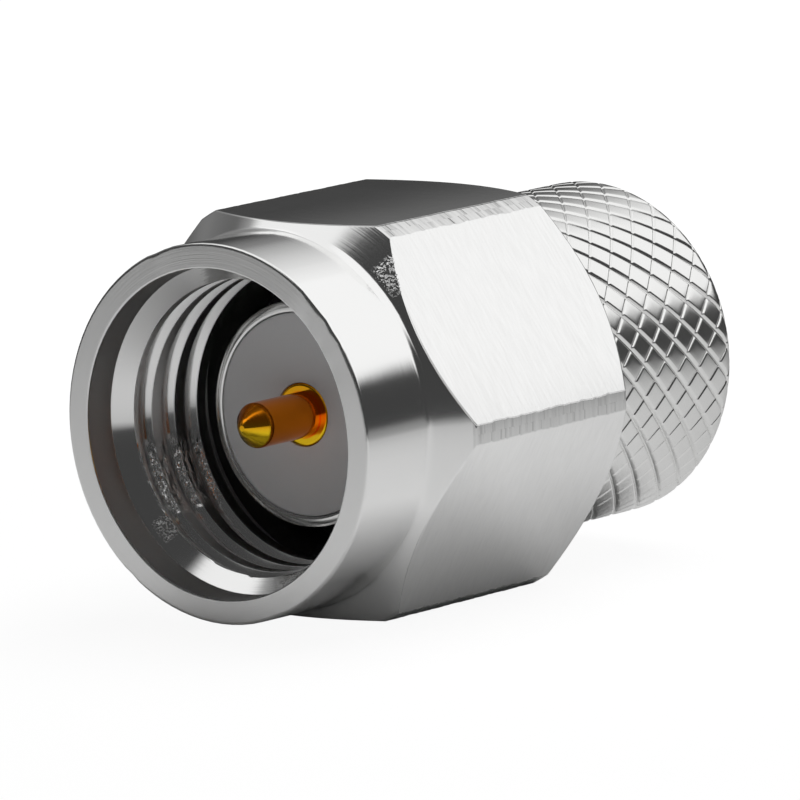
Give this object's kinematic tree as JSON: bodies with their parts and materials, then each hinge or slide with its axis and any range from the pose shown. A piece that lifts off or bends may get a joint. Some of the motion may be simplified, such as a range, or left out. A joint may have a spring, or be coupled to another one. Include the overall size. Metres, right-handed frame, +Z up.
{
  "type": "sma terminator",
  "caption": "Coaxial plug terminator: free turning hexagon coupling nut with an inner thread, gold centre pin, and a knurled round load body with a rounded end.",
  "frame": {"origin": "on the axis, in the centre of the plug's reference plane, where the two outer conductors meet", "axes": "-Y points out of the mating end, +Y towards the rounded end, +Z up from the hexagon flat that the part rests on"},
  "size_m": [0.009, 0.0129, 0.008],
  "materials": {
    "nut_metal": "bright turned",
    "barrel_metal": "bright, diamond knurled",
    "body_metal": "bright turned",
    "spring_metal": "plain",
    "gold_contact": "polished gold plating",
    "plated_brass": "plain",
    "bead_plastic": "smooth, waxy",
    "ceramic_rod": "matte ceramic",
    "seal_rubber": "matte"
  },
  "bodies": {
    "load_body": {"front_body": "body_metal", "snap_ring": "spring_metal", "interface_gasket": "seal_rubber", "front_insulator": "bead_plastic", "centre_pin": "gold_contact", "resistor_front_cap": "plated_brass", "resistor_rod": "ceramic_rod", "resistor_rear_cap": "plated_brass", "matching_sleeve": "plated_brass", "ground_collet": "plated_brass", "pressure_washer": "spring_metal", "knurled_barrel": "barrel_metal"},
    "coupling_nut": {"coupling_nut": "nut_metal"}
  },
  "joints": [
    {"name": "nut_spin", "type": "hinge", "parent": "load_body", "child": "coupling_nut", "pos_m": [0, 0.0015, 0], "axis": [0, 1, 0], "continuous": true}
  ]
}
